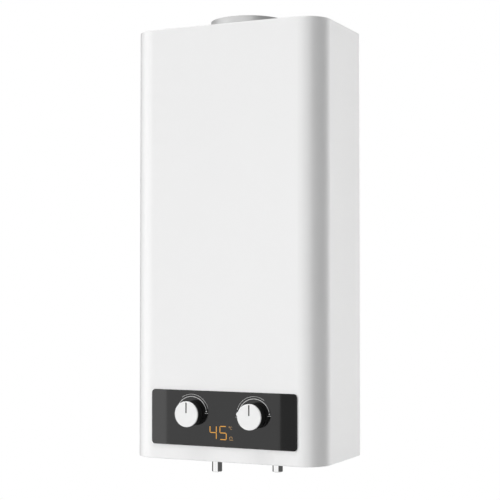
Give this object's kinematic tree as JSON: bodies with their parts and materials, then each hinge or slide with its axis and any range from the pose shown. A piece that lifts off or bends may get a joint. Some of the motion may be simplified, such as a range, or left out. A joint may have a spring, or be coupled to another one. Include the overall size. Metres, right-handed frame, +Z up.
{
  "type": "tankless gas water heater",
  "caption": "Wall-hung instantaneous gas water heater: white sheet casing with a flue collar on top, a dark glass control panel with knobs and a lit display, and pipe tails underneath.",
  "frame": {"origin": "on the wall face of the back plate, at the centre of the wall screw pattern, which is also the middle of the cover's width and height", "axes": "+X to the right seen from the front, +Y into the wall, +Z up"},
  "size_m": [0.293, 0.1685, 0.6556],
  "materials": {
    "white_paint": "smooth white powder coat",
    "galvanised": "zinc coated sheet",
    "flue_metal": "aluminised sheet",
    "copper": "drawn copper",
    "stainless": "pressed stainless sheet",
    "die_cast": "as cast",
    "brass": "machined",
    "chrome": "polished",
    "zinc_steel": "zinc plated",
    "rubber": "moulded",
    "black_plastic": "fine texture",
    "grey_plastic": "fine texture",
    "board": "coated laminate",
    "cell_wrap": "printed sleeve left bare",
    "ceramic": "glazed",
    "panel_glass": "polished, opaque dark back coating",
    "knob_black": "moulded",
    "knob_white": "satin white",
    "pointer_grey": "inlaid line"
  },
  "bodies": {
    "casing": {"front_cover": "white_paint", "back_plate": "galvanised", "flue_trim": "galvanised", "flue_collar": "flue_metal", "draft_hood": "flue_metal", "chamber_shell": "copper", "exchanger_fins": "copper", "exchanger_tubes": "copper", "inlet_coil": "copper", "hot_pipe": "copper", "burner_frame": "stainless", "burner_bars": "stainless", "gas_manifold": "die_cast", "gas_jets": "brass", "manifold_feed": "copper", "side_brackets": "galvanised", "gas_valve_body": "die_cast", "gas_solenoid": "black_plastic", "water_valve_body": "brass", "water_valve_cover": "brass", "diaphragm": "rubber", "valve_screws": "zinc_steel", "microswitch": "black_plastic", "valve_bracket": "galvanised", "gas_tail": "chrome", "cold_tail": "chrome", "hot_tail": "chrome", "pipe_grommets": "rubber", "igniter_box": "grey_plastic", "ignition_lead": "rubber", "electrode_ceramics": "ceramic", "electrode_rods": "zinc_steel", "overheat_switch": "zinc_steel", "outlet_sensor": "black_plastic", "control_panel": "panel_glass", "panel_carrier": "black_plastic", "display_board": "board", "display_module": "black_plastic", "battery_box": "black_plastic", "battery_cells": "cell_wrap", "battery_contacts": "zinc_steel", "cover_screws": "zinc_steel"},
    "gas_control": {"gas_knob": "knob_black", "gas_knob_face": "knob_white", "gas_pointer": "pointer_grey", "gas_spindle": "brass"},
    "water_control": {"water_knob": "knob_black", "water_knob_face": "knob_white", "water_pointer": "pointer_grey", "water_spindle": "brass"},
    "battery_door": {"battery_lid": "grey_plastic"},
    "push_rod": {"valve_rod": "zinc_steel"},
    "drain": {"drain_plug": "grey_plastic"}
  },
  "joints": [
    {"name": "gas_knob_turn", "type": "hinge", "parent": "casing", "child": "gas_control", "pos_m": [-0.048, -0.15, -0.2392], "axis": [0, 1, 0], "range_deg": [-75, 75]},
    {"name": "water_knob_turn", "type": "hinge", "parent": "casing", "child": "water_control", "pos_m": [0.048, -0.15, -0.2392], "axis": [0, 1, 0], "range_deg": [-75, 75]},
    {"name": "battery_door_swing", "type": "hinge", "parent": "casing", "child": "battery_door", "pos_m": [0.1215, -0.0255, -0.3035], "axis": [1, 0, 0], "range_deg": [0, 100]},
    {"name": "push_rod_slide", "type": "slide", "parent": "casing", "child": "push_rod", "axis": [-1, 0, 0], "range_m": [0, 0.003], "stiffness_N_per_m": 2000, "springref_m": -0.002},
    {"name": "drain_plug_turn", "type": "hinge", "parent": "casing", "child": "drain", "pos_m": [0.0755, -0.0715, -0.29], "axis": [0, 0, 1], "range_deg": [0, 90]}
  ]
}
